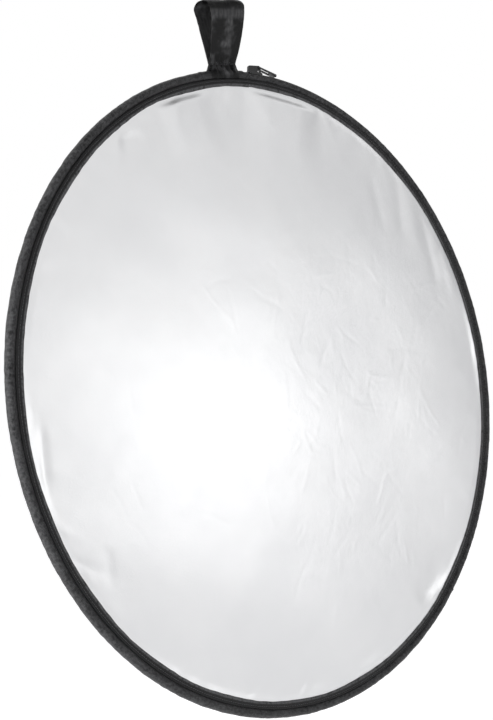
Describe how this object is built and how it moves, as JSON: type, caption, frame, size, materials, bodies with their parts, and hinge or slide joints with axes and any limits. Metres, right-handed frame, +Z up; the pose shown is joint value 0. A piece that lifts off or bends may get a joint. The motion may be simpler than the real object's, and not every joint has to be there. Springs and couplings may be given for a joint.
{
  "type": "collapsible reflector disc",
  "caption": "Round collapsible light reflector: silver cover zipped over a diffuser core on a sprung hoop, with a ribbon carry loop on the rim.",
  "frame": {"origin": "centre of the disc, in the middle of its thickness, which is the middle of the two rim points that a reflector holder grips", "axes": "+Z up through the carry loop, -Y out of the silver front face, +X to the right seen from the front"},
  "size_m": [0.809, 0.0344, 0.8969],
  "materials": {
    "silver_cloth": "metallised silver, satin",
    "white_cloth": "matt white",
    "diffuser_cloth": "translucent white ripstop",
    "black_tape": "ribbed black polyester",
    "satin_ribbon": "black satin ribbon",
    "thread": "black polyester thread",
    "spring_steel": "blued spring steel",
    "zinc_steel": "zinc plated",
    "zip_nylon": "black nylon",
    "zip_stop": "black stop",
    "black_enamel": "black enamel, worn edges"
  },
  "bodies": {
    "root": {"front_panel_right": "silver_cloth", "rear_panel_right": "white_cloth", "front_seam_right": "thread", "rear_seam_right": "thread", "edge_band_top": "black_tape", "edge_band_bottom": "black_tape", "zip_band_front": "black_tape", "zip_band_rear": "black_tape", "core_fabric_right": "diffuser_cloth", "core_binding_right": "black_tape", "core_stitching_right": "thread", "hoop_right": "spring_steel", "hoop_ferrule": "zinc_steel", "ferrule_rivets": "zinc_steel", "zip_tape_front": "black_tape", "zip_tape_rear": "black_tape", "zip_coil_front": "zip_nylon", "zip_coil_rear": "zip_nylon", "zip_top_stops": "zip_stop", "zip_bottom_stop": "zip_stop", "loop_base_patch": "satin_ribbon"},
    "wing": {"front_panel_left": "silver_cloth", "rear_panel_left": "white_cloth", "front_seam_left": "thread", "rear_seam_left": "thread", "edge_band_left": "black_tape", "core_fabric_left": "diffuser_cloth", "core_binding_left": "black_tape", "core_stitching_left": "thread", "hoop_left": "spring_steel"},
    "slider": {"slider_body": "black_enamel", "slider_crown": "black_enamel", "slider_lock_spring": "spring_steel"},
    "pull": {"pull_tab": "black_enamel"},
    "loop": {"loop_strap": "satin_ribbon", "loop_stitching": "thread"}
  },
  "joints": [
    {"name": "fold", "type": "hinge", "parent": "root", "child": "wing", "pos_m": [0, -0.007, 0], "axis": [-0.4067, 0, 0.9135], "range_deg": [0, 145], "stiffness_Nm_per_rad": 4},
    {"name": "zip_travel", "type": "hinge", "parent": "root", "child": "slider", "pos_m": [0, 0, 0], "axis": [0, 1, 0], "range_deg": [0, 130]},
    {"name": "pull_swing", "type": "hinge", "parent": "slider", "child": "pull", "pos_m": [0.06118, 0, 0.4079], "axis": [0, -1, 0], "range_deg": [0, 180]},
    {"name": "loop_flop", "type": "hinge", "parent": "root", "child": "loop", "pos_m": [0, 0, 0.4082], "axis": [1, 0, 0], "range_deg": [-80, 75], "stiffness_Nm_per_rad": 0.06}
  ]
}
